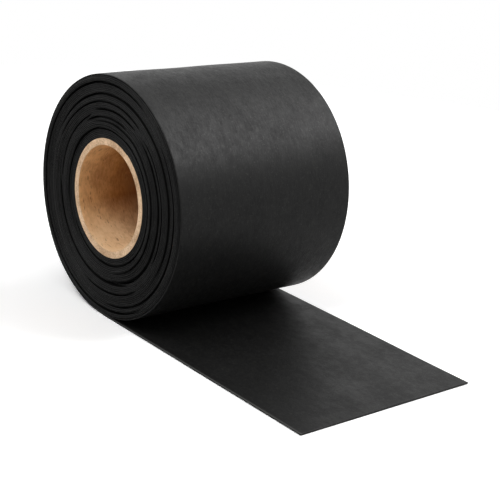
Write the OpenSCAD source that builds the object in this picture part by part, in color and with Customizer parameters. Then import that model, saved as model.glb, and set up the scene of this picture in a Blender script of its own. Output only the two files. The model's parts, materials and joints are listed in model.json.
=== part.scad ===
// Strip of rubber membrane wound on a cardboard core. The roll lies on its side,
// and the end of the strip is drawn out flat along the floor as a tail.
// Millimetres, +Z up. The origin is the middle of the core's bore, the roll's axis
// is Y, and the tail runs towards +X.

/* [Strip] */
// Width of the strip, from one end of the roll to the other
strip_w = 152.4; // [60:0.1:300]
// Thickness of the rubber
strip_t = 1.2; // [0.8:0.1:2]
// Length of the tail, from the roll's lowest line to the strip's cut end
tail_len = 221; // [80:1:400]

/* [Roll] */
// Outer diameter of the wound roll
roll_d = 177; // [130:1:260]
// Air between two neighbouring turns, on average
turn_air = 0.13; // [0.05:0.01:0.3]
// How far the turns wander along the axis, each way
wander = 0.6; // [0:0.1:2]
// Number of turns in which they wander once there and back
wander_turns = 11; // [5:1:20]
// How far the tail's underside stands below the last turn
tail_seat = 0.02; // [0.01:0.01:0.05]

/* [Lines between the turns, on both ends] */
// Width of a line at its mouth
line_w = 0.4; // [0.2:0.05:0.6]
// Depth of a line
line_d = 0.3; // [0.1:0.05:1]
// Every so many turns the winding is slack, and its line is wider and deeper
slack_every = 4; // [3:1:9]
// Width of a slack line at its mouth
slack_w = 0.7; // [0.4:0.05:0.8]
// Depth of a slack line
slack_d = 1.5; // [0.5:0.1:3]

/* [Core] */
// Diameter of the core's bore
core_bore_d = 76.2; // [40:0.1:80]
// Wall of the core
core_wall = 5; // [2:0.5:8]
// Clearance between the core and the first turn, which is wound tight on it
core_fit = 0; // [0:0.01:0.05]

/* [Hidden] */
$fn = 180;

roll_r = roll_d / 2;
core_r = core_bore_d / 2 + core_wall;
wound_r = core_r + core_fit;
bore_over = 1;

// The turns share the space between the core and the roll's outside.
turns = floor((roll_r - wound_r) / (strip_t + turn_air));
pitch = (roll_r - wound_r) / turns;

// Turn i runs from turn_r(i) to turn_r(i + 1), and its two edges lie at
// turn_shift(i) - strip_w / 2 and turn_shift(i) + strip_w / 2 along the axis.
// The last turn has no shift, so that the tail is flush with it.
function turn_r(i) = wound_r + i * pitch;
function turn_shift(i) = wander * sin(360 * (turns - 1 - i) / wander_turns);

// The line between turn i - 1 and turn i. Slack ones are counted from the outside.
function is_slack(i) = (turns - i) % slack_every == 0;
function half_line(i) = (is_slack(i) ? slack_w : line_w) / 2;
function line_depth(i) = is_slack(i) ? slack_d : line_d;

// Points of one end of the roll, from the core outwards. side is 1 or -1, and each
// line is a V whose bottom is line_depth below the lower of its two turns.
function land(i, side) = side * turn_shift(i) + strip_w / 2;
function end_line(i, side) = [
    [turn_r(i) - half_line(i), land(i - 1, side)],
    [turn_r(i), min(land(i - 1, side), land(i, side)) - line_depth(i)],
    [turn_r(i) + half_line(i), land(i, side)]
];
function end_profile(side) = [
    [wound_r, land(0, side)],
    for (i = [1 : turns - 1]) each end_line(i, side),
    [roll_r, land(turns - 1, side)]
];
function flipped(points) = [
    for (k = [len(points) - 1 : -1 : 0]) [points[k][0], -points[k][1]]
];

// Everything round stands on Z and is laid down along Y here.
module lay_down() {
    rotate([90, 0, 0]) children();
}

// The wound turns, as one turned solid with its bore.
module winding() {
    lay_down()
        rotate_extrude()
            polygon(concat(end_profile(1), flipped(end_profile(-1))));
}

// The end of the strip, which leaves the roll at its lowest line.
module tail() {
    translate([0, -strip_w / 2, -roll_r - tail_seat])
        cube([tail_len, strip_w, strip_t]);
}

// Rubber strip: the winding and its tail are one piece.
module membrane() {
    color("#2f3031")
        union() {
            winding();
            tail();
        }
}

// Cardboard tube, as long as the strip is wide.
module core() {
    color("#c9b08a")
        lay_down()
            difference() {
                cylinder(r = core_r, h = strip_w, center = true);
                cylinder(d = core_bore_d, h = strip_w + 2 * bore_over, center = true);
            }
}

membrane();
core();
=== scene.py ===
"""A strip of rubber membrane wound on a cardboard core, with its end drawn out flat.

The roll lies on its side. Its axis is Y, its near end faces -Y, and the strip's free end
leaves the roll at its lowest line and runs along the floor towards +X. All lengths are
in metres, in the frame of the CAD model.
"""
import json
import logging
import math
from dataclasses import dataclass, field
from enum import Enum
from functools import partial, reduce

import bpy
import numpy as np
from mathutils import Matrix, Vector


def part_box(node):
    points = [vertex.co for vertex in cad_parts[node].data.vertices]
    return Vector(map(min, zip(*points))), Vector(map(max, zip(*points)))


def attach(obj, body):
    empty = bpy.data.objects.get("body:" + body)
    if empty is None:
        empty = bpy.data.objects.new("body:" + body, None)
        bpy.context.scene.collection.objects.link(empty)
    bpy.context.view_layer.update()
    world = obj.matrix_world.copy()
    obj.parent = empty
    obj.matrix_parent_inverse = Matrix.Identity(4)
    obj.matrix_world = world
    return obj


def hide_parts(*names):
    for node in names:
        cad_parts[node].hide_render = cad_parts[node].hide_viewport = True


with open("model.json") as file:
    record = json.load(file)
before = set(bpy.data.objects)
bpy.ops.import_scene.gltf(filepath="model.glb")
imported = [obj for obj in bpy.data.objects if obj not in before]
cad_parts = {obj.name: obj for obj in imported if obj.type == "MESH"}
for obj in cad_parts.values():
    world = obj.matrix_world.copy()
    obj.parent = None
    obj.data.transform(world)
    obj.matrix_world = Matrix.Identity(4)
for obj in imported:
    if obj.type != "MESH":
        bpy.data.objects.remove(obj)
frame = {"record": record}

LOG = logging.getLogger("roll")
MM = 0.001
ROOT_BODY = "root"
PLACE = "place"
STRIP_THICKNESS = 1.2 * MM
LYING_TOP = 1.5 * MM
LYING_CLEAR = 3.0 * MM
MID_NOISE = 0.5
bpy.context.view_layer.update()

Array = np.ndarray
Material = bpy.types.Material
Socket = bpy.types.NodeSocket
Triple = tuple[float, float, float]
Colour = tuple[float, float, float, float]
Value = Socket | float
Paint = Socket | Colour
Inputs = dict[str | int, Value | Triple | Colour]


class Surface(int, Enum):
    """Numbers of the two finishes on a piece."""

    FACE = 0
    CUT = 1


class Ray(str, Enum):
    """Rays for which a backdrop is drawn at its full white."""

    CAMERA = "Is Camera Ray"
    GLOSSY = "Is Glossy Ray"
    TRANSMISSION = "Is Transmission Ray"


# -------- meshes


@dataclass
class Skin:
    """A closed surface that is put together from point arrays and arrays of faces."""

    points: list[Array] = field(default_factory=list)
    faces: list[Array] = field(default_factory=list)
    finishes: list[Array] = field(default_factory=list)
    place: list[Array] = field(default_factory=list)
    count: int = 0

    def add_points(self, points: Array, place: Array) -> Array:
        """Adds a grid of points.

        Args:
            points: Places, shaped (rows, columns, 3).
            place: Coordinates for the finish, shaped as points.

        Returns:
            The index of each point, shaped (rows, columns).
        """
        rows, columns = points.shape[:2]
        index = np.arange(rows * columns).reshape(rows, columns) + self.count
        self.points.append(points.reshape(-1, 3))
        self.place.append(place.reshape(-1, 3))
        self.count += rows * columns
        return index

    def add_rings(self, index: Array, finish: Array) -> None:
        """Joins each row of closed rings to the next row with quads.

        A quad's normal is the ring's direction crossed with the direction to the next row.

        Args:
            index: Point indices, shaped (rows, columns), where a row is a closed ring.
            finish: Finish number of the quads, which can be spread to (rows - 1, columns).
        """
        after = np.roll(index, -1, axis=1)
        quads = np.stack([index[:-1], after[:-1], after[1:], index[1:]], -1)
        self.faces.append(quads.reshape(-1, 4))
        self.finishes.append(np.broadcast_to(finish, quads.shape[:2]).reshape(-1))

    def add_face(self, corners: Array, finish: int) -> None:
        """Adds one face with any number of corners."""
        self.faces.append(np.asarray(corners).reshape(1, -1))
        self.finishes.append(np.array([finish]))

    def build(self, name: str, materials: list[Material]) -> bpy.types.Object:
        """Makes the Blender object, at the origin, smooth shaded.

        Args:
            name: The object's name.
            materials: Its finishes, in the order of their numbers.

        Returns:
            The linked object.
        """
        faces = [face for block in self.faces for face in block.tolist()]
        mesh = bpy.data.meshes.new(name)
        mesh.from_pydata(np.concatenate(self.points), [], faces)
        mesh.shade_smooth()
        place = mesh.attributes.new(PLACE, "FLOAT_VECTOR", "POINT")
        place.data.foreach_set("vector", np.concatenate(self.place).astype(np.float32).ravel())
        for material in materials:
            mesh.materials.append(material)
        numbers = np.concatenate(self.finishes).astype(np.int32)
        mesh.polygons.foreach_set("material_index", numbers)
        mesh.validate()
        return put(name, mesh)


def put(name: str, data: bpy.types.ID) -> bpy.types.Object:
    """Makes an object in the scene.

    Args:
        name: The object's name.
        data: Its mesh, lamp or camera.

    Returns:
        The linked object.
    """
    made = bpy.data.objects.new(name, data)
    bpy.context.scene.collection.objects.link(made)
    return made


def smooth_step(value: Array) -> Array:
    """Rises from 0 to 1 as value goes from 0 to 1, level at both ends: 3v^2 - 2v^3."""
    v = np.clip(value, 0.0, 1.0)
    return v * v * (3.0 - 2.0 * v)


def plateau(offset: Array, reach: float) -> Array:
    """Is 1 around no offset and falls smoothly to 0 over the last third of reach."""
    return smooth_step((reach - np.abs(offset)) / (reach / 3.0))


# -------- shader graphs


@dataclass(frozen=True)
class Effect:
    """What a noise adds: nothing below low, amount above high, and a ramp in between."""

    low: float
    high: float
    amount: float


@dataclass(frozen=True)
class Relief:
    """A bump in a surface: its depth in metres, and its strength."""

    depth: float
    strength: float


@dataclass(frozen=True)
class Noise:
    """Smooth noise from 0 to 1, about 0.5 on average, and what it does in a finish.

    Its swells are about 1 / scale metres wide, or 1 / stretch along each direction where
    that is given. Roughness is that of the noise itself.
    """

    scale: float = 1.0
    stretch: Triple | None = None
    detail: float = 2.0
    roughness: float = 0.5
    distortion: float = 0.0
    tone: Effect | None = None
    gloss: Effect | None = None
    relief: Relief | None = None


@dataclass(frozen=True)
class Layer:
    """A noise that has been put into a graph, and the socket that gives its value."""

    noise: Noise
    value: Socket


class Graph:
    """A node tree, with one short method for each kind of node that it uses."""

    def __init__(self, owner: Material | bpy.types.World) -> None:
        """Takes a material or a world, and empties its node tree.

        Args:
            owner: What the tree belongs to.
        """
        owner.use_nodes = True
        self.owner = owner
        self.tree = owner.node_tree
        self.tree.nodes.clear()

    def add(self, kind: str, inputs: Inputs | None = None, **settings: str) -> bpy.types.Node:
        """Adds a node, and links its inputs or sets them.

        Args:
            kind: The node's class name.
            inputs: A socket or a plain value for each input, by its name or number.
            **settings: Settings of the node itself.

        Returns:
            The new node.
        """
        node = self.tree.nodes.new(kind)
        for name, setting in settings.items():
            setattr(node, name, setting)
        for name, value in (inputs or {}).items():
            if isinstance(value, Socket):
                self.tree.links.new(value, node.inputs[name])
            else:
                node.inputs[name].default_value = value
        return node

    def place(self) -> Socket:
        """Reads the mesh's coordinates for finishes."""
        return self.add("ShaderNodeAttribute", attribute_name=PLACE).outputs["Vector"]

    def body(self) -> Socket:
        """Reads the object's own coordinates, in metres."""
        return self.add("ShaderNodeTexCoord").outputs["Object"]

    def part(self, vector: Socket, axis: str) -> Socket:
        """Takes the part X, Y or Z of a vector."""
        return self.add("ShaderNodeSeparateXYZ", {0: vector}).outputs[axis]

    def math(self, operation: str, first: Value, second: Value = 0.0) -> Socket:
        """Combines two numbers."""
        return self.add("ShaderNodeMath", {0: first, 1: second}, operation=operation).outputs[0]

    def total(self, values: list[Value]) -> Value:
        """Adds up numbers."""
        return reduce(partial(self.math, "ADD"), values)

    def span(self, value: Value, low: float, high: float, to_low: float = 0.0,
             to_high: float = 1.0) -> Socket:
        """Maps low..high evenly to to_low..to_high, and clamps outside."""
        ends = {"From Min": low, "From Max": high, "To Min": to_low, "To Max": to_high}
        return self.add("ShaderNodeMapRange", {"Value": value} | ends).outputs["Result"]

    def blend(self, amount: Value, first: Paint, second: Paint) -> Socket:
        """Mixes two colours, from the first at 0 to the second at 1."""
        inputs = {"Factor": amount, "A": first, "B": second}
        return self.add("ShaderNodeMix", inputs, data_type="RGBA").outputs["Result"]

    def lying(self, floor: float) -> Socket:
        """Is 1 where the strip lies on the floor, and 0 from a little above it."""
        height = self.part(self.body(), "Z")
        return self.span(height, floor + LYING_TOP, floor + LYING_CLEAR, 1.0, 0.0)

    def layer(self, vector: Socket, noise: Noise, swing: Value | None = None) -> Layer:
        """Puts a noise into the graph.

        Args:
            vector: The coordinates that it reads.
            noise: Its settings.
            swing: What its distance from 0.5 is multiplied by, if it is.

        Returns:
            The layer.
        """
        if noise.stretch is not None:
            inputs = {"Vector": vector, "Scale": noise.stretch}
            vector = self.add("ShaderNodeMapping", inputs).outputs["Vector"]
        inputs = {"Vector": vector, "Scale": noise.scale, "Detail": noise.detail,
                  "Roughness": noise.roughness, "Distortion": noise.distortion}
        value = self.add("ShaderNodeTexNoise", inputs).outputs["Fac"]
        if swing is not None:
            offset = self.math("MULTIPLY", self.math("SUBTRACT", value, MID_NOISE), swing)
            value = self.math("ADD", offset, MID_NOISE)
        return Layer(noise, value)

    def mask(self, layer: Layer) -> Socket:
        """A layer's effect on the tone."""
        tone = layer.noise.tone
        return self.span(layer.value, tone.low, tone.high, 0.0, tone.amount)

    def tone(self, layers: list[Layer]) -> Socket:
        """Adds up the layers' effects on the tone."""
        return self.total([self.mask(layer) for layer in layers])

    def roughness(self, middle: float, layers: list[Layer]) -> Socket:
        """Varies a roughness: each layer adds from its amount down to minus its amount.

        Args:
            middle: The roughness in the middle.
            layers: The layers.

        Returns:
            The varied roughness.
        """
        glosses = [(layer.value, layer.noise.gloss) for layer in layers]
        return self.total([middle, *(
            self.span(value, gloss.low, gloss.high, gloss.amount, -gloss.amount)
            for value, gloss in glosses)])

    def relief(self, layers: list[Layer]) -> Socket:
        """Lays the layers' bumps over one another.

        Args:
            layers: The layers, from the lowest one.

        Returns:
            The normal.
        """
        below = {}
        for layer in layers:
            bump = layer.noise.relief
            inputs = {"Strength": bump.strength, "Distance": bump.depth, "Height": layer.value}
            below = {"Normal": self.add("ShaderNodeBump", inputs | below).outputs["Normal"]}
        return below["Normal"]

    def finish(self, shader: Socket) -> Material:
        """Links a shader to the output, and returns the material."""
        self.add("ShaderNodeOutputMaterial", {"Surface": shader})
        return self.owner

    def principled(self, colour: Socket, roughness: Value, specular_level: float,
                   normal: Socket) -> Material:
        """Ends a material with a Principled shader.

        Args:
            colour: Its base colour.
            roughness: Its roughness.
            specular_level: The strength of its mirror-like part, where 0.5 is usual.
            normal: Its normal, with the bumps in it.

        Returns:
            The finished material.
        """
        inputs = {"Base Color": colour, "Roughness": roughness,
                  "Specular IOR Level": specular_level, "Normal": normal}
        return self.finish(self.add("ShaderNodeBsdfPrincipled", inputs).outputs["BSDF"])


def grey(level: float) -> Colour:
    """A neutral colour with full alpha."""
    return (level, level, level, 1.0)


# -------- finishes


@dataclass(frozen=True)
class RubberFinish:
    """Black sheet rubber: a soft sheen, a fine grain, faint clouds, streaks and dust.

    Where the strip lies on the floor, its upper corners carry a painted highlight, a pale
    line, the streaks are weaker, and the clouds and the mottling are stronger.
    """

    floor: float
    half_width: float
    dark: Colour = (0.0004, 0.0004, 0.0005, 1.0)
    light: Colour = (0.0078, 0.0078, 0.0075, 1.0)
    dust_and_painted_light: Colour = (0.024, 0.024, 0.022, 1.0)
    # Painted highlight: a pale line along the tail's upper corners, in place of light catching
    # the edge.
    painted_light: Colour = (0.046, 0.046, 0.044, 1.0)
    painted_glint_width: float = 1.3 * MM
    painted_glint_fade: float = 0.5 * MM
    roughness: float = 0.45
    specular_level: float = 0.17
    flat_clouds: float = 1.8
    flat_mottle: float = 1.4
    flat_streaks: float = 0.15
    clouds: Noise = Noise(
        scale=34.0, detail=3.0, roughness=0.55, tone=Effect(0.36, 0.66, 0.20),
        gloss=Effect(0.3, 0.7, 0.04), relief=Relief(0.5 * MM, 0.35))
    mottle: Noise = Noise(
        stretch=(110.0, 150.0, 150.0), detail=4.0, roughness=0.65,
        tone=Effect(0.42, 0.60, 0.32), gloss=Effect(0.36, 0.66, 0.03),
        relief=Relief(0.15 * MM, 0.5))
    streaks: Noise = Noise(
        stretch=(240.0, 1300.0, 300.0), roughness=0.6, tone=Effect(0.42, 0.62, 0.30),
        gloss=Effect(0.34, 0.68, 0.06), relief=Relief(0.07 * MM, 0.8))
    grain: Noise = Noise(
        stretch=(1300.0, 1700.0, 1500.0), roughness=0.6, tone=Effect(0.42, 0.60, 0.18),
        gloss=Effect(0.34, 0.68, 0.05), relief=Relief(0.06 * MM, 0.9))
    spots: Noise = Noise(
        scale=420.0, detail=3.0, roughness=0.7, tone=Effect(0.54, 0.70, 0.4),
        gloss=Effect(0.36, 0.66, 0.02))
    specks: Noise = Noise(scale=700.0, detail=1.0, tone=Effect(0.65, 0.75, 0.7))

    def material(self) -> Material:
        """Builds the material.

        The place attribute holds the distance along the strip, across it and through it.
        Clouds are noise a few centimetres wide, mottling is noise of several millimetres
        and spots of about two. Streaks are hair-thin noise along the strip, the way the
        sheet was rolled out. The grain is noise of about half a millimetre. They change
        the colour, the roughness and, apart from the spots, the bump. Specks are the
        brightest peaks of one more noise, in the colour of dust.

        Returns:
            The finished material.
        """
        g = Graph(bpy.data.materials.new("sheet_rubber"))
        place = g.place()
        lying = g.lying(self.floor)
        clouds, mottle, streaks = (
            g.layer(place, noise, g.span(lying, 0.0, 1.0, 1.0, swing))
            for noise, swing in ((self.clouds, self.flat_clouds),
                                 (self.mottle, self.flat_mottle),
                                 (self.streaks, self.flat_streaks)))
        grain, spots, specks = (
            g.layer(place, noise) for noise in (self.grain, self.spots, self.specks))
        face = g.blend(g.tone([clouds, mottle, streaks, grain]), self.dark, self.light)
        for dusty in (spots, specks):
            face = g.blend(g.mask(dusty), face, self.dust_and_painted_light)
        # Painted highlight along the upper corners where the strip lies on the floor.
        across = g.math("ABSOLUTE", g.part(place, "Y"))
        inside = self.half_width - self.painted_glint_width
        corner = g.math("MULTIPLY", g.span(across, inside, inside + self.painted_glint_fade), lying)
        face = g.blend(corner, face, self.painted_light)
        roughness = g.roughness(self.roughness, [clouds, mottle, spots, streaks, grain])
        normal = g.relief([clouds, mottle, streaks, grain])
        return g.principled(face, roughness, self.specular_level, normal)


@dataclass(frozen=True)
class CutRubberFinish:
    """The slit edges of the rubber: dull, with faint lines left by the knife.

    Where the strip lies on the floor, the upper corner of its edge has a painted highlight.
    """

    floor: float
    dark: Colour = (0.0004, 0.0004, 0.0005, 1.0)
    light: Colour = (0.0087, 0.0087, 0.0084, 1.0)
    # Painted highlight: a pale line on the upper corner of the tail's edge.
    painted_light: Colour = (0.052, 0.052, 0.050, 1.0)
    painted_glint_depth: float = 0.50 * MM
    painted_glint_fade: float = 0.2 * MM
    roughness: float = 0.70
    specular_level: float = 0.05
    turns: Noise = Noise(
        stretch=(5.5, 0.0, 0.0), roughness=0.6, tone=Effect(0.42, 0.60, 0.40))
    scuffs: Noise = Noise(
        stretch=(140.0, 600.0, 900.0), detail=3.0, roughness=0.6,
        tone=Effect(0.45, 0.63, 0.40), gloss=Effect(0.3, 0.7, 0.08))
    patches: Noise = Noise(scale=42.0, tone=Effect(0.38, 0.64, 0.20))
    knife: Noise = Noise(
        stretch=(420.0, 4200.0, 4200.0), detail=1.0, relief=Relief(0.04 * MM, 0.5))

    def material(self) -> Material:
        """Builds the material.

        Slow noise along the strip makes one turn a little lighter than the next, short
        scuffs along the edge break that up, and soft patches lie across many turns.

        Returns:
            The finished material.
        """
        g = Graph(bpy.data.materials.new("cut_rubber"))
        place = g.place()
        turns, scuffs, knife = (
            g.layer(place, noise) for noise in (self.turns, self.scuffs, self.knife))
        patches = g.layer(g.body(), self.patches)
        edge = g.blend(g.tone([turns, scuffs, patches]), self.dark, self.light)
        # Painted highlight on the upper corner of the edge, where the strip lies on the floor.
        depth = g.part(place, "Z")
        corner = g.span(depth, self.painted_glint_depth, self.painted_glint_depth - self.painted_glint_fade)
        edge = g.blend(g.math("MULTIPLY", corner, g.lying(self.floor)), edge, self.painted_light)
        roughness = g.roughness(self.roughness, [scuffs])
        return g.principled(edge, roughness, self.specular_level, g.relief([knife]))


@dataclass(frozen=True)
class BoardFinish:
    """The bore of the tube: brown board with fibres, flecks and clouds.

    Painted light lies near both mouths, painted shade in the middle, and a pale painted
    light along the lowest line. The painted light is thinner where the board's tone is dark.
    """

    half_length: float
    dark: Colour = (0.262, 0.093, 0.016, 1.0)
    light: Colour = (0.540, 0.260, 0.076, 1.0)
    # Painted light near both mouths of the bore.
    painted_light: Colour = (0.900, 0.535, 0.245, 1.0)
    # Painted light along the lowest line of the bore.
    dust_and_painted_light: Colour = (0.820, 0.570, 0.335, 1.0)
    # Painted shade in the middle of the bore.
    painted_shade: Colour = (0.120, 0.036, 0.004, 1.0)
    fleck: Colour = (0.160, 0.060, 0.020, 1.0)
    roughness: float = 0.62
    specular_level: float = 0.35
    # How far the painted light reaches in from each mouth, and how strong it is.
    mouth_depth: float = 33.0 * MM
    mouth_share: float = 0.95
    # Where the painted shade in the middle starts and becomes full, and how strong it is.
    painted_shade_from: float = 44.0 * MM
    painted_shade_to: float = 24.0 * MM
    painted_shade_share: float = 0.65
    # Heights over which the painted light along the bottom fades out.
    painted_light_low: float = -34.0 * MM
    painted_light_high: float = -12.0 * MM
    thin_tone: float = 0.2
    full_tone: float = 0.8
    thin_share: float = 0.6
    clouds: Noise = Noise(
        scale=75.0, detail=4.0, roughness=0.6, tone=Effect(0.40, 0.61, 0.50))
    fibres: Noise = Noise(
        stretch=(260.0, 700.0, 260.0), detail=3.0, roughness=0.6,
        tone=Effect(0.36, 0.64, 0.35), gloss=Effect(0.3, 0.7, 0.06),
        relief=Relief(0.12 * MM, 0.5))
    pulp: Noise = Noise(
        scale=2600.0, roughness=0.6, tone=Effect(0.36, 0.64, 0.15),
        relief=Relief(0.06 * MM, 0.5))
    flecks: Noise = Noise(
        stretch=(230.0, 900.0, 230.0), detail=1.0, distortion=0.3,
        tone=Effect(0.65, 0.74, 0.7))

    def material(self) -> Material:
        """Builds the material.

        Noise that is squeezed along the axis runs around the bore, as the fibres do.

        Returns:
            The finished material.
        """
        g = Graph(bpy.data.materials.new("core_board"))
        body = g.body()
        clouds, fibres, pulp, flecks = (
            g.layer(body, noise)
            for noise in (self.clouds, self.fibres, self.pulp, self.flecks))
        tone = g.tone([clouds, fibres, pulp])
        face = g.blend(tone, self.dark, self.light)
        # Painted shade: darker towards the middle of the tube.
        to_end = g.math("ABSOLUTE", g.part(body, "Y"))
        middle = g.span(to_end, self.painted_shade_to, self.painted_shade_from, self.painted_shade_share, 0.0)
        face = g.blend(middle, face, self.painted_shade)
        # The painted light is thinner where the board's tone is dark.
        uneven = g.span(tone, self.thin_tone, self.full_tone, self.thin_share, 1.0)
        # Painted light near both mouths.
        mouth_start = self.half_length - self.mouth_depth
        mouth = g.span(to_end, mouth_start, self.half_length, 0.0, self.mouth_share)
        face = g.blend(g.math("MULTIPLY", mouth, uneven), face, self.painted_light)
        # Painted light along the lowest line of the bore.
        low = g.span(g.part(body, "Z"), self.painted_light_low, self.painted_light_high, 1.0, 0.0)
        face = g.blend(g.math("MULTIPLY", low, uneven), face, self.dust_and_painted_light)
        face = g.blend(g.mask(flecks), face, self.fleck)
        roughness = g.roughness(self.roughness, [fibres])
        return g.principled(face, roughness, self.specular_level, g.relief([fibres, pulp]))


@dataclass(frozen=True)
class CutBoardFinish:
    """The cut end of the tube: paler board, open pulp and a few dark fibres."""

    dark: Colour = (0.370, 0.225, 0.125, 1.0)
    light: Colour = (0.830, 0.600, 0.395, 1.0)
    fibre: Colour = (0.260, 0.140, 0.070, 1.0)
    roughness: float = 0.88
    specular_level: float = 0.2
    clouds: Noise = Noise(
        scale=110.0, detail=3.0, roughness=0.6, tone=Effect(0.36, 0.64, 0.5))
    pulp: Noise = Noise(
        scale=1100.0, detail=3.0, roughness=0.7, tone=Effect(0.36, 0.64, 0.5),
        relief=Relief(0.10 * MM, 0.6))
    fibres: Noise = Noise(
        scale=750.0, detail=1.0, distortion=0.6, tone=Effect(0.62, 0.72, 0.75))

    def material(self) -> Material:
        """Builds the material from pulp noise, soft clouds and sparse dark fibres.

        Returns:
            The finished material.
        """
        g = Graph(bpy.data.materials.new("core_board_cut"))
        place = g.place()
        clouds, pulp, fibres = (
            g.layer(place, noise) for noise in (self.clouds, self.pulp, self.fibres))
        end = g.blend(g.tone([clouds, pulp]), self.dark, self.light)
        end = g.blend(g.mask(fibres), end, self.fibre)
        return g.principled(end, self.roughness, self.specular_level, g.relief([pulp]))


@dataclass(frozen=True)
class FloorFinish:
    """Matt white floor that reads as plain white and keeps the shadow on it.

    It is drawn whiter to the camera than it is for light that bounces and for
    reflections, so only the shadow near the roll is left.
    """

    albedo: float = 0.80
    drawn: float = 1.34

    def material(self) -> Material:
        """Builds the material.

        Returns:
            The finished material.
        """
        g = Graph(bpy.data.materials.new("white_floor"))
        path = g.add("ShaderNodeLightPath")
        colour = g.blend(path.outputs[Ray.CAMERA.value], grey(self.albedo), grey(self.drawn))
        return g.finish(g.add("ShaderNodeBsdfDiffuse", {"Color": colour}).outputs["BSDF"])


# -------- the membrane


@dataclass(frozen=True)
class SlackPlace:
    """A stretch of one turn that stands off the turn beneath it by a gap.

    turns_in counts the turns from the outside. middle and reach, to either side, are
    angles in degrees. The turn beneath also stands back from both ends by set_back. gap
    and set_back are in millimetres.
    """

    turns_in: int
    middle: float
    reach: float
    gap: float
    set_back: float


@dataclass(frozen=True)
class Path:
    """A line on the strip's inner face, with one row for each place on it.

    base has its points (x, z), normal the directions (x, z) towards the outer face, and
    along the distances from the strip's start.
    """

    base: Array
    normal: Array
    along: Array

    def rows(self, part: slice) -> "Path":
        """Takes a part of the path."""
        return Path(self.base[part], self.normal[part], self.along[part])


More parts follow.
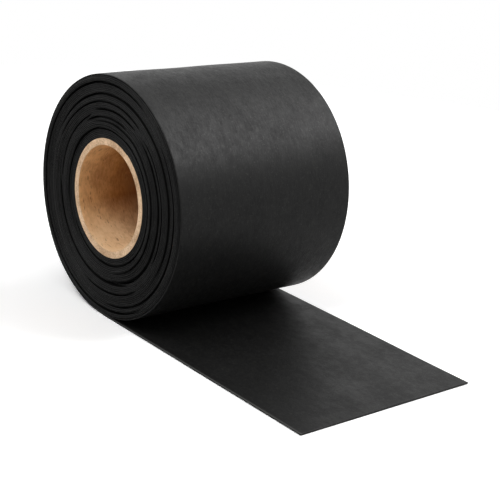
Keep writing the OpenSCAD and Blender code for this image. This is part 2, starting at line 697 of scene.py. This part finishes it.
@dataclass
class Winding:
    """The path of the strip from its start on the core to where it leaves the roll.

    A place on it is s, the number of turns from the start. Its angle grows with s, and
    the last place lies straight below the axis. The strip's start is pared down to a thin
    lip, so that the next turn lies over it without a step. Angles are in degrees, and
    arch_bounds counts turns from the outside.
    """

    core_radius: float
    outer_radius: float
    thickness: float
    whole_turns: int = 33
    start_angle: float = 60.0
    steps: int = 120
    lip: float = 0.12
    lip_turns: float = 0.16
    climb: float = 0.03
    wander: float = 0.6 * MM
    wander_turns: float = 11.0
    arch: float = 0.25 * MM
    arch_bounds: tuple[float, ...] = (
        0.0, 3.5, 6.0, 9.6, 13.4, 16.0, 19.0, 22.0, 24.0, 27.0, 29.0, 34.0)
    jitter: float = 0.09 * MM
    jitter_turns: Triple = (1.37, 0.71, 3.3)
    jitter_phases: Triple = (0.0, 1.3, 0.4)
    calm_turns: float = 1.5
    slack: tuple[SlackPlace, ...] = tuple(SlackPlace(*row) for row in (
        (4, 186.0, 129.0, 0.70, 2.4), (4, 101.0, 44.0, 0.10, 0.8),
        (3, 285.0, 21.0, 0.25, 0.8), (6, -23.0, 68.0, 0.55, 2.4),
        (6, -25.0, 35.0, 0.30, 0.8), (10, 57.0, 98.0, 0.45, 2.3),
        (10, 104.0, 46.0, 0.20, 0.9), (13, -81.0, 29.0, 0.50, 2.2),
        (14, 105.0, 50.0, 0.42, 2.2), (16, 12.0, 42.0, 0.50, 2.5),
        (18, 86.0, 24.0, 0.75, 3.4), (18, 274.0, 28.0, 0.35, 1.2),
        (19, 240.0, 62.0, 0.55, 2.3), (19, -15.0, 73.0, 1.20, 3.6),
        (20, 147.0, 35.0, 0.35, 1.8), (22, 96.0, 26.0, 0.50, 2.6),
        (24, 12.0, 98.0, 0.32, 1.6), (24, 93.0, 19.0, 0.20, 0.8),
        (27, 106.0, 44.0, 0.00, -0.6), (28, 11.0, 181.0, 0.50, 2.4),
        (28, 196.0, 70.0, 0.20, 0.5),
    ))
    turns: float = field(init=False)
    last: int = field(init=False)
    s: Array = field(init=False)
    path: Path = field(init=False)

    def __post_init__(self) -> None:
        """Works out the places and the path.

        A place's angle is -90 degrees at the end and one full turn less for each turn
        before it. The distance along is the sum of the steps between the places, halfway
        through the strip.
        """
        part = (-90.0 - self.start_angle) % 360.0 / 360.0
        self.turns = self.whole_turns + part
        self.last = round(self.turns * self.steps)
        self.s = np.arange(self.last + 1) / self.steps
        angle = np.radians(-90.0) + 2.0 * np.pi * (self.s - self.turns)
        radial = np.stack([np.cos(angle), np.sin(angle)], -1)
        base = self._inner_radius()[:, None] * radial
        step = np.hypot(*np.diff(base + radial * 0.5 * self.thickness, axis=0).T)
        self.path = Path(base, radial, np.concatenate([[0.0], np.cumsum(step)]))

    def _slack_share(self, place: SlackPlace, turns_under: int) -> Array:
        """Is a plateau around a slack place's middle, on its own turn or one under it."""
        middle = self.turns - place.turns_in + (place.middle + 90.0) % 360.0 / 360.0
        return plateau(self.s + turns_under - middle, place.reach / 360.0)

    def _inner_radius(self) -> Array:
        """The strip's inner radius at each place.

        A turn lies on the one beneath it: radius(s) = radius(s - 1) + thickness + gap,
        with the thickness at s - 1. The first turn lies on the core and climbs onto the
        lip of the strip's start just before s = 1. The room that thicknesses and slack
        gaps leave on a ray from the axis is shared evenly among the gaps on that ray, so
        that the last turn is a plain spiral that ends at the outer radius.

        Returns:
            One radius for each place.
        """
        t, steps, rows = self.thickness, self.steps, self.whole_turns + 1
        grid = np.zeros(rows * steps)
        gap = sum(place.gap * MM * self._slack_share(place, 0) for place in self.slack)
        grid[:self.last + 1] = np.where(self.s < 1.0, 0.0, gap)
        slack_sum = np.cumsum(grid.reshape(rows, steps), axis=0)
        end_column = self.last % steps
        top = np.where(np.arange(steps) <= end_column, self.whole_turns, self.whole_turns - 1)
        final = self.outer_radius - t
        room = final - self.core_radius - self.whole_turns * t
        growth = t + (room - slack_sum[self.whole_turns, end_column]) / self.whole_turns
        fraction = np.arange(steps) / steps
        target = final - growth * (self.turns - top - fraction)
        column_slack = slack_sum[top, np.arange(steps)]
        pared = t * self.share_of_thickness(fraction)
        free = target - self.core_radius - pared - (top - 1) * t - column_slack
        lift = pared[0] + free[0] / top[0]
        first = lift * smooth_step((fraction - 1.0 + self.climb) / self.climb)
        spare = (free - first) / top
        turn, column = np.divmod(np.arange(self.last + 1), steps)
        beneath = np.where(turn > 0, pared[column] + (turn - 1) * t, 0.0)
        gaps = turn * spare[column] + slack_sum[turn, column]
        return self.core_radius + first[column] + beneath + gaps

    def share_of_thickness(self, s: Array) -> Array:
        """Thickness over full thickness: a smooth rise from the lip's share to 1."""
        return self.lip + (1.0 - self.lip) * smooth_step(s / self.lip_turns)

    def shift(self, ring: Array, width: float) -> Array:
        """How far the strip stands towards +Y at each place and point of its section.

        It wanders slowly along the axis, as a sine that is zero at the end. Each group of
        turns between two of the bounds stands out in its middle, as a parabola, at both
        ends of the roll. Both are read further out for the outer face than for the inner
        one, so the edges of neighbouring turns slope together. The jitter, a mean of
        sines, moves neighbouring turns against each other, and the turn beneath a slack
        place stands back at both ends. All but the wander fade out over the last
        calm_turns.

        Args:
            ring: Points (across, through), shaped (count, 2).
            width: The strip's width.

        Returns:
            Shifts, shaped (places, count).
        """
        side = -2.0 * ring[:, 0] / width
        inward = (self.turns - self.s)[:, None] - ring[:, 1] / self.thickness
        wander = -self.wander * np.sin(2.0 * np.pi * inward / self.wander_turns)
        bounds = np.array(self.arch_bounds)
        group = np.clip(np.searchsorted(bounds, inward, side="right") - 1, 0, len(bounds) - 2)
        middle = 0.5 * (bounds[group] + bounds[group + 1])
        half = 0.5 * (bounds[group + 1] - bounds[group])
        arch = -self.arch * (1.0 - ((inward - middle) / half) ** 2)
        turn = 2.0 * np.pi * (self.turns - self.s)
        sines = [np.sin(turn / length + phase)
                 for length, phase in zip(self.jitter_turns, self.jitter_phases)]
        jitter = self.jitter * (sum(sines) / len(sines))
        back = sum(place.set_back * MM * self._slack_share(place, 1) for place in self.slack)
        fade = smooth_step(inward / self.calm_turns)
        inwards = (arch + back[:, None]) * side
        return wander + fade * (inwards + jitter[:, None])


@dataclass(frozen=True)
class Ripple:
    """A long sine in one direction of the sheet, whose phase swings in the other."""

    length: float
    bend: float
    bend_length: float
    phase: float = 0.0

    def height(self, main: Array, other: Array) -> Array:
        """Is sin(2 pi (main / length + bend sin(other / bend_length)) + phase)."""
        swing = self.bend * np.sin(other / self.bend_length)
        return np.sin(2.0 * np.pi * (main / self.length + swing) + self.phase)


@dataclass
class Membrane:
    """The rubber strip: its winding and the tail, as one closed piece.

    Its last turn and its tail have soft waves of the given height. They rise over a part
    of the last turn and of the tail, and fall to nothing where the strip leaves the roll.
    """

    width: float
    thickness: float
    core_radius: float
    outer_radius: float
    tail_end: float
    floor: float
    corner: float = 0.42 * MM
    wound_corner: float = 0.22 * MM
    support: float = 0.5 * MM
    columns: int = 26
    corner_steps: int = 2
    tail_steps: int = 90
    fine_turns: float = 1.1
    wave: float = 0.35 * MM
    wave_along: Ripple = Ripple(0.117, 0.35, 0.031)
    wave_across: Ripple = Ripple(0.071, 0.30, 0.047, 1.1)
    wave_rise_turns: float = 0.08
    wave_fall_turns: float = 0.10
    wave_rise_tail: float = 0.05

    def section(self, columns: int, corner: float, inset: float = 0.0) -> Array:
        """The strip's cross-section as a closed ring.

        Each corner is a quarter circle. Between the corners the two faces have columns
        cells each, the first and last of which are only support wide.

        Args:
            columns: Cells across each face.
            corner: Radius of the corners.
            inset: How far the ring is drawn in on all sides.

        Returns:
            Points (across, through), shaped (count, 2), from the near edge along the
            inner face to the far edge and back along the outer face.
        """
        half, t, c = 0.5 * self.width, self.thickness, corner
        turn = np.linspace(0.0, 0.5 * np.pi, self.corner_steps + 1)
        inner_near = np.stack([
            -half + c * (1.0 - np.cos(turn)), c * (1.0 - np.sin(turn))], -1)
        side = half - c - self.support
        middle = np.linspace(-side, side, columns - 1)
        across = np.stack([middle, np.zeros(columns - 1)], -1)
        inner = np.concatenate([inner_near, across, inner_near[::-1] * (-1.0, 1.0)])
        ring = np.concatenate([inner, inner[::-1] * (1.0, -1.0) + (0.0, t)])
        ring[:, 0] -= np.sign(ring[:, 0]) * inset
        offset = ring[:, 1] - 0.5 * t
        ring[:, 1] = 0.5 * t + np.sign(offset) * np.minimum(np.abs(offset), 0.5 * t - inset)
        return ring

    def surface(self, columns: int, wound: bool = False) -> Array:
        """Gives the finish numbers of a section's cells.

        Both edges are cut rubber, and so are the corners of the inner face. On a wound
        turn the hidden faces are instead, and the worn corners have the face's finish.

        Args:
            columns: Cells across each face.
            wound: Whether it is a wound turn.

        Returns:
            One number for each cell of the ring.
        """
        corner = self.corner_steps
        side = columns + 2 * corner
        cells = np.full(2 * side + 2, Surface.FACE.value)
        inner = [corner, side + 1 + corner] if wound else np.r_[:corner, side - corner:side]
        cells[[side, 2 * side + 1, *inner]] = Surface.CUT.value
        return cells

    def sweep(self, ring: Array, path: Path, shift: Array,
              swell: Array) -> tuple[Array, Array]:
        """Carries a ring along a path.

        A point is the path's inner-face point, plus the ring's depth and the swell along
        the normal, at the ring's distance across the strip plus the shift.

        Args:
            ring: Points (across, through), shaped (count, 2).
            path: The path, with rows places.
            shift: Shift along Y, shaped (rows, count).
            swell: Extra distance along the normal, shaped (rows, count).

        Returns:
            Points and place attribute of the grid, both shaped (rows, count, 3).
        """
        depth = ring[:, 1] + swell
        xz = path.base[:, None, :] + path.normal[:, None, :] * depth[..., None]
        points = np.stack([xz[..., 0], ring[:, 0] + shift, xz[..., 1]], -1)
        parts = (path.along[:, None], ring[:, 0], ring[:, 1])
        place = np.stack([np.broadcast_to(part, shift.shape) for part in parts], -1)
        return points, place

    def swell(self, path: Path, tail_x: Array, across: Array) -> Array:
        """Height of the soft waves on the last turn and the tail.

        The waves are the mean of two ripples, moved to lie between 0 and 1. They lift the
        last turn off the roll and the tail off the floor, which is against its normal.

        Args:
            path: The path, of which the last rows are on the tail.
            tail_x: Distances from the roll's lowest line of the rows on the tail.
            across: Distances across the strip, shaped (count,).

        Returns:
            Distances along the normal, shaped (rows, count).
        """
        on_roll = len(path.along) - len(tail_x)
        to_go = path.along[on_roll - 1] - path.along[:on_roll]
        turns_to_go = to_go / (2.0 * np.pi * self.outer_radius)
        rise = smooth_step((1.0 - turns_to_go) / self.wave_rise_turns)
        fall = smooth_step(turns_to_go / self.wave_fall_turns)
        lift = smooth_step(tail_x / self.wave_rise_tail)
        amount = np.concatenate([self.wave * (rise * fall), -self.wave * lift])
        u, v = path.along[:, None], across
        ripples = self.wave_along.height(u, v), self.wave_across.height(v, u)
        return amount[:, None] * (0.5 + 0.25 * ripples[0] + 0.25 * ripples[1])

    def build(self, materials: list[Material]) -> bpy.types.Object:
        """Makes the strip.

        The turns that only show their edges are coarse, and the last turn and the tail
        are fine. One row of faces with many corners joins the two, beneath the last turn.

        Args:
            materials: The rubber's face and its cut edge.

        Returns:
            The linked object.
        """
        winding = Winding(self.core_radius, self.outer_radius, self.thickness)
        fine_start = winding.last - round(self.fine_turns * winding.steps)
        skin = Skin()
        coarse = self.add_turns(skin, winding, fine_start)
        fine = self.add_end(skin, winding, fine_start)
        self.stitch(skin, coarse[-1], fine[0])
        skin.add_face(coarse[0], Surface.CUT.value)
        skin.add_face(fine[-1][::-1], Surface.CUT.value)
        LOG.info("strip: %.2f m wound in %.1f turns", winding.path.along[-1], winding.turns)
        return skin.build("membrane_strip", materials)

    def add_turns(self, skin: Skin, winding: Winding, count: int) -> Array:
        """Adds the inner turns, with one cell across each face.

        Args:
            skin: The surface that gets them.
            winding: The winding.
            count: How many of its places they have, from the start.

        Returns:
            The index of each point, with one row for each place.
        """
        ring = self.section(1, self.wound_corner)
        path = winding.path.rows(slice(0, count))
        shift = winding.shift(ring, self.width)[:count]
        thinner = winding.share_of_thickness(winding.s[:count]) - 1.0
        points = self.sweep(ring, path, shift, thinner[:, None] * ring[:, 1])
        index = skin.add_points(*points)
        skin.add_rings(index[::-1], self.surface(1, wound=True))
        return index

    def add_end(self, skin: Skin, winding: Winding, start: int) -> Array:
        """Adds the last turn and the tail, with many cells across each face.

        At the tail's cut end, the rings are drawn in along a quarter circle.

        Args:
            skin: The surface that gets them.
            winding: The winding.
            start: The first of its places that is used.

        Returns:
            The index of each point, with one row for each place.
        """
        ring = self.section(self.columns, self.corner)
        corner = self.corner
        run = np.linspace(0.0, self.tail_end - corner - self.support, self.tail_steps + 1)[1:]
        turn = np.linspace(0.0, 0.5 * np.pi, self.corner_steps + 1)
        tail_x = np.concatenate([run, self.tail_end - corner + corner * np.sin(turn)])
        top = self.floor + self.thickness
        rolled = winding.path.rows(slice(start, None))
        flat = np.stack([tail_x, np.full(len(tail_x), top)], -1)
        path = Path(
            np.concatenate([rolled.base, flat]),
            np.concatenate([rolled.normal, np.tile([0.0, -1.0], (len(tail_x), 1))]),
            np.concatenate([rolled.along, rolled.along[-1] + tail_x]),
        )
        shift = np.pad(winding.shift(ring, self.width)[start:], ((0, len(tail_x)), (0, 0)))
        swell = self.swell(path, tail_x, ring[:, 0])
        points, place = self.sweep(ring, path, shift, swell)
        insets = corner * (1.0 - np.cos(turn[1:]))
        for row, inset in enumerate(insets, start=-len(insets)):
            drawn = self.section(self.columns, corner, inset)
            points[row, :, 1] = drawn[:, 0]
            points[row, :, 2] = top - drawn[:, 1] - swell[row]
        index = skin.add_points(points, place)
        skin.add_rings(index[::-1], self.surface(self.columns))
        return index

    def stitch(self, skin: Skin, coarse: Array, fine: Array) -> None:
        """Joins the last coarse ring to the first fine one.

        Args:
            skin: The surface that gets the faces.
            coarse: Point indices of the coarse ring.
            fine: Point indices of the fine ring.
        """
        corner = self.corner_steps + 1
        extra = len(fine) // 2 - 2 * corner
        starts = np.array([0, corner + extra, 2 * corner + extra, 3 * corner + 2 * extra])
        match = (starts[:, None] + np.arange(corner)).ravel()
        sides = zip(match, np.roll(match, -1), coarse, np.roll(coarse, -1), self.surface(1))
        for first, last, here, after, finish in sides:
            between = fine[first:last + 1] if last > first else fine[[first, last]]
            skin.add_face(np.concatenate([between, [after, here]]), finish)


# -------- the core


@dataclass
class Core:
    """The cardboard tube, with the edges of its plies on both ends.

    Half a ply's line takes ply_line_share of the ply, and cut_share of each rounded edge
    has the cut finish. The seam's step takes seam_width of the way around, and fades out
    over seam_wall_share of the wall.
    """

    outer_radius: float
    bore_radius: float
    length: float
    around: int = 180
    bore_rows: int = 44
    plies: int = 11
    ply_line: float = 0.07 * MM
    ply_line_share: float = 0.2
    edge_round: float = 0.35 * MM
    edge_points: int = 4
    cut_share: float = 0.9
    seam_turns: int = 1
    seam_step: float = 0.16 * MM
    seam_width: float = 0.05
    seam_wall_share: float = 0.25

    def end_profile(self) -> Array:
        """One end of the tube, from its outside to its bore.

        Two quarter circles round its edges. Between them the end is flat, with a shallow
        line at each joint between two plies.

        Returns:
            Points (radius, distance in from the end), shaped (count, 2).
        """
        turn = np.linspace(0.0, 0.5 * np.pi, self.edge_points)
        side = self.edge_round * (1.0 - np.cos(turn))
        end = self.edge_round * (1.0 - np.sin(turn))
        outer = np.stack([self.outer_radius - side, end], -1)
        inner = np.stack([self.bore_radius + end, side], -1)
        joints = np.linspace(self.outer_radius, self.bore_radius, self.plies + 1)[1:-1]
        half = self.ply_line_share * (self.outer_radius - self.bore_radius) / self.plies
        lines = np.stack([
            np.stack([joints + half, joints, joints - half], -1),
            np.tile([0.0, self.ply_line, 0.0], (len(joints), 1)),
        ], -1).reshape(-1, 2)
        return np.concatenate([outer, lines, inner])

    def build(self, materials: list[Material]) -> bpy.types.Object:
        """Makes the tube as closed rings along its axis.

        A ring's angle is turned with its distance along the axis, so that the joint of
        the innermost ply, a low step in the bore, follows one line of the grid. From end
        to end the rings make whole turns, so the outside closes without a twist.

        Args:
            materials: The board's face and its cut end.

        Returns:
            The linked object.
        """
        half = 0.5 * self.length
        near = self.end_profile() - (0.0, half)
        far = near[::-1] * (1.0, -1.0)
        rows = np.linspace(near[-1, 1], far[0, 1], self.bore_rows + 1)[1:-1]
        bore = np.stack([np.full(len(rows), self.bore_radius), rows], -1)
        profile = np.concatenate([near, bore, far])
        turn = np.linspace(0.0, 2.0 * np.pi, self.around, endpoint=False)
        angle = turn + profile[:, 1:] * 2.0 * np.pi * self.seam_turns / self.length
        wall = self.outer_radius - self.bore_radius
        from_bore = (profile[:, 0] - self.bore_radius) / (wall * self.seam_wall_share)
        in_bore = np.clip(1.0 - from_bore, 0.0, 1.0)
        step = smooth_step(1.0 - turn / (2.0 * np.pi) / self.seam_width)
        seam = self.seam_step * in_bore[:, None] * step
        radius = profile[:, None, 0] - seam
        points = np.stack([
            radius * np.cos(angle),
            np.broadcast_to(profile[:, None, 1], angle.shape),
            radius * np.sin(angle),
        ], -1)
        at_end = np.abs(profile[:, 1]) > half - self.cut_share * self.edge_round
        cut = at_end | np.roll(at_end, -1)
        finish = np.where(cut, Surface.CUT.value, Surface.FACE.value)[:, None]
        skin = Skin()
        index = skin.add_points(points, points)
        skin.add_rings(np.concatenate([index, index[:1]]), finish)
        return skin.build("cardboard_core", materials)


# -------- the studio


@dataclass(frozen=True)
class Softbox:
    """A square area lamp that points at the roll from a direction."""

    name: str
    azimuth: float
    elevation: float
    power: float
    size: float = 0.90
    distance: float = 2.0
    aim: Triple = (0.05, 0.0, -0.03)

    def add(self) -> None:
        """Makes the lamp, at its distance along the direction, facing its aim."""
        a, e = math.radians(self.azimuth), math.radians(self.elevation)
        back = Vector((math.cos(a) * math.cos(e), math.sin(a) * math.cos(e), math.sin(e)))
        data = bpy.data.lights.new(self.name, "AREA")
        data.shape = "SQUARE"
        data.size = self.size
        data.energy = self.power
        lamp = put(self.name, data)
        place = Matrix.Translation(Vector(self.aim) + back * self.distance)
        lamp.matrix_world = place @ back.to_track_quat("Z", "Y").to_matrix().to_4x4()


@dataclass(frozen=True)
class Viewpoint:
    """The camera: its direction from the roll, its tilt, its distance and its lens."""

    azimuth: float = 49.23
    elevation: float = 18.90
    tilt: float = 4.95
    distance: float = 0.9802
    aim_right: float = 0.04215
    aim_up: float = -0.04745
    lens: float = 94.90
    sensor: float = 36.0

    def add(self) -> None:
        """Makes the camera and sets it as the scene's."""
        a, e, r = (math.radians(v) for v in (self.azimuth, self.elevation, self.tilt))
        back = Vector((math.sin(a) * math.cos(e), -math.cos(a) * math.cos(e), math.sin(e)))
        level = Vector((math.cos(a), math.sin(a), 0.0))
        plumb = back.cross(level)
        right = level * math.cos(r) + plumb * math.sin(r)
        up = plumb * math.cos(r) - level * math.sin(r)
        data = bpy.data.cameras.new("camera")
        data.lens = self.lens
        data.sensor_width = self.sensor
        camera = put("camera", data)
        place = right * self.aim_right + up * self.aim_up + back * self.distance
        turn = Matrix((right, up, back)).transposed().to_4x4()
        camera.matrix_world = Matrix.Translation(place) @ turn
        bpy.context.scene.camera = camera


@dataclass(frozen=True)
class Studio:
    """Floor, surroundings, lamps and camera."""

    floor_height: float
    floor_radius: float = 0.85
    floor_sides: int = 96
    surround: float = 0.20
    softboxes: tuple[Softbox, ...] = (
        Softbox("rear_low_softbox", 50.0, 41.0, 10.5),
        Softbox("rear_high_softbox", 50.0, 50.0, 13.0),
        Softbox("back_softbox", 90.0, 52.0, 7.4),
        Softbox("left_low_softbox", 240.0, 12.0, 6.6),
        Softbox("left_softbox", 240.0, 52.0, 7.0),
        Softbox("front_softbox", 270.0, 52.0, 12.0),
        Softbox("front_high_softbox", 270.0, 70.0, 4.8),
    )

    def add(self) -> None:
        """Makes everything around the roll."""
        self.add_floor()
        self.add_world()
        for softbox in self.softboxes:
            softbox.add()
        Viewpoint().add()
        bpy.context.scene.view_settings.view_transform = "Standard"

    def add_floor(self) -> None:
        """Lays the floor under the roll, as one round face."""
        turn = np.linspace(0.0, 2.0 * np.pi, self.floor_sides, endpoint=False)
        x, y = self.floor_radius * np.cos(turn), self.floor_radius * np.sin(turn)
        rim = np.stack([x, y, np.full(self.floor_sides, self.floor_height)], -1)
        mesh = bpy.data.meshes.new("floor")
        mesh.from_pydata(rim.tolist(), [], [list(range(self.floor_sides))])
        mesh.materials.append(FloorFinish().material())
        floor = put("floor", mesh)

    def add_world(self) -> None:
        """Sets surroundings that look plain white and light the roll softly."""
        world = bpy.data.worlds.new("surroundings")
        g = Graph(world)
        path = g.add("ShaderNodeLightPath")
        seen = 0.0
        for ray in Ray:
            seen = g.math("MAXIMUM", path.outputs[ray.value], seen)
        strength = g.span(seen, 0.0, 1.0, self.surround, 1.0)
        background = g.add("ShaderNodeBackground", {"Color": grey(1.0), "Strength": strength})
        g.add("ShaderNodeOutputWorld", {"Surface": background.outputs["Background"]})
        bpy.context.scene.world = world


# -------- the whole


def main() -> None:
    """Builds the strip, the core and the studio."""
    logging.basicConfig(level=logging.INFO, format="%(name)s: %(message)s")
    core_low, core_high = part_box("core")
    strip_low, strip_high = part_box("membrane")
    bore = next(m for m in frame["record"]["mounts"] if m["name"] == "core_bore")
    width = core_high.y - core_low.y

    membrane = Membrane(
        width=width,
        thickness=STRIP_THICKNESS,
        core_radius=core_high.x,
        outer_radius=-strip_low.z,
        tail_end=strip_high.x,
        floor=strip_low.z,
    ).build([
        RubberFinish(strip_low.z, 0.5 * width).material(),
        CutRubberFinish(strip_low.z).material(),
    ])
    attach(membrane, ROOT_BODY)
    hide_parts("membrane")

    core = Core(
        outer_radius=core_high.x,
        bore_radius=bore["dims"]["r_mm"] * MM,
        length=width,
    ).build([BoardFinish(0.5 * width).material(), CutBoardFinish().material()])
    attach(core, ROOT_BODY)
    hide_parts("core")

    Studio(floor_height=strip_low.z).add()

    for piece in (membrane, core):
        LOG.info("%s: %d faces", piece.name, len(piece.data.polygons))
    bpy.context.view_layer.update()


if __name__ == "__main__":
    main()
